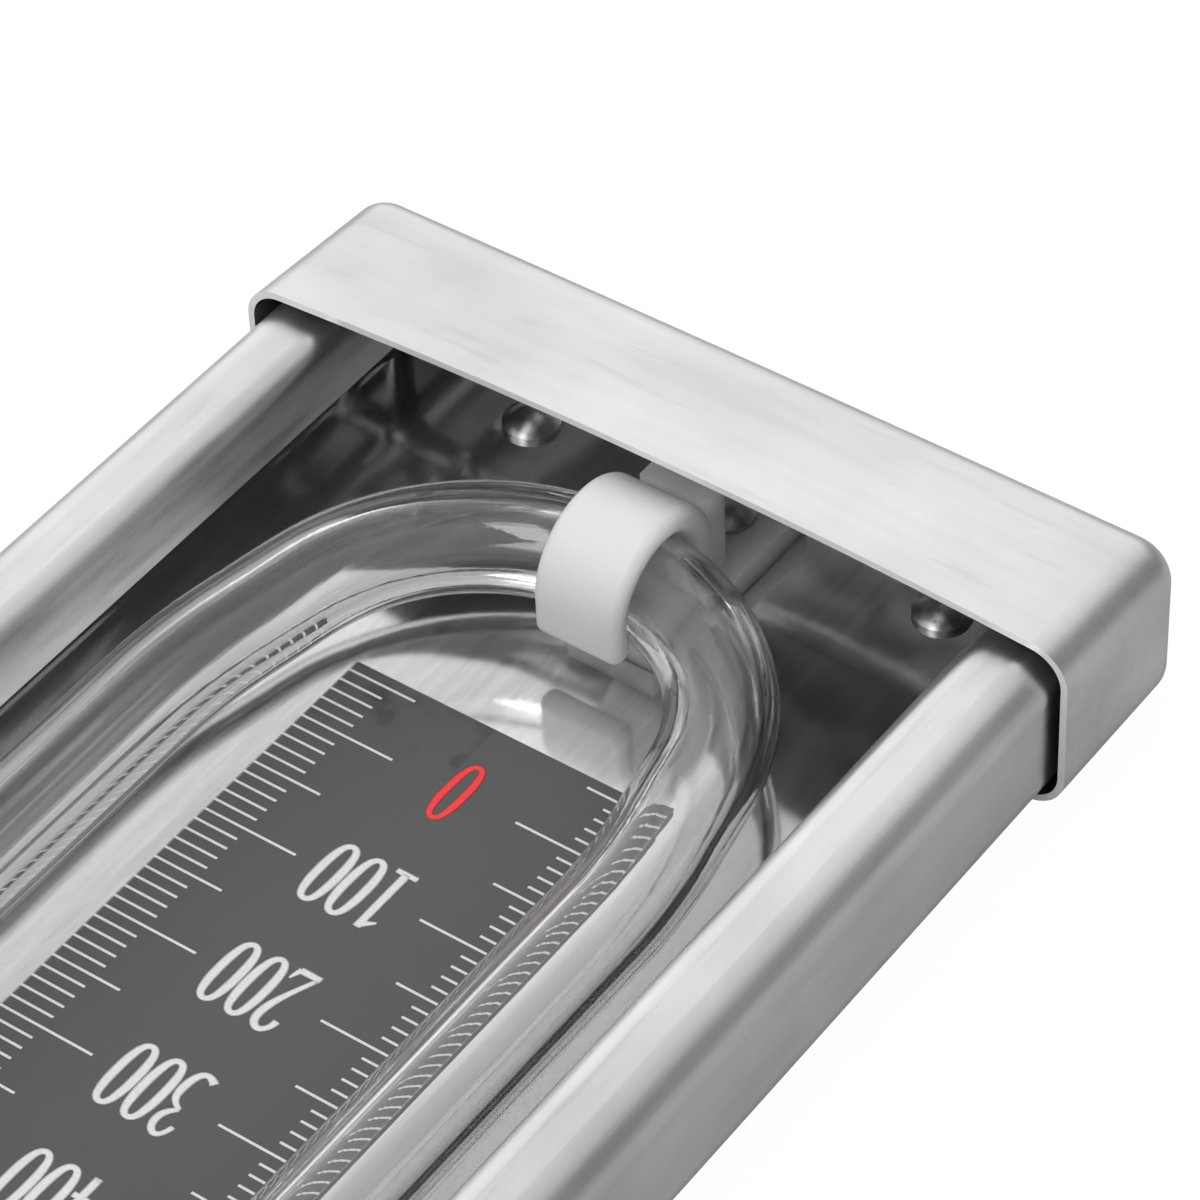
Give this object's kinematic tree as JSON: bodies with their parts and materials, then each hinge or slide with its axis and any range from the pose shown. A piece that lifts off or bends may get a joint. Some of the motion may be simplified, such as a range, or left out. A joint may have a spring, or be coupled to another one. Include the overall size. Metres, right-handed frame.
{
  "type": "u tube manometer",
  "caption": "Vertical glass U tube over a printed pressure scale, in a channel case folded from stainless sheet with pressed end caps.",
  "frame": {"origin": "middle of the length and the width, on the plane that the set rivet tails at the back rest on", "axes": "+Y up the scale to the hose ends, +X to the right as the scale is read, +Z out of the scale"},
  "size_m": [0.066, 0.302, 0.0155],
  "materials": {
    "stainless_sheet": "stainless sheet, satin outside and mirror polished inside",
    "scale_print": "dark grey satin with light printed marks",
    "clear_glass": "clear drawn glass, fire polished at the rims",
    "white_nylon": "natural moulded nylon, milky and slightly translucent",
    "black_rubber": "matt black rubber",
    "rivet_steel": "bright stainless rivets"
  },
  "bodies": {
    "root": {"case_channel": "stainless_sheet", "bottom_end_cap": "stainless_sheet", "top_end_cap": "stainless_sheet", "hanging_tab": "stainless_sheet", "scale_plate": "scale_print", "glass_u_tube": "clear_glass", "bottom_tube_clip": "white_nylon", "left_tube_clip": "white_nylon", "right_tube_clip": "white_nylon", "left_tube_bush": "black_rubber", "right_tube_bush": "black_rubber", "bottom_cap_left_rivet": "rivet_steel", "bottom_cap_right_rivet": "rivet_steel", "top_cap_left_rivet": "rivet_steel", "top_cap_right_rivet": "rivet_steel", "hanging_tab_rivet": "rivet_steel", "bottom_clip_rivet": "rivet_steel", "left_clip_rivet": "rivet_steel", "right_clip_rivet": "rivet_steel"}
  },
  "joints": []
}
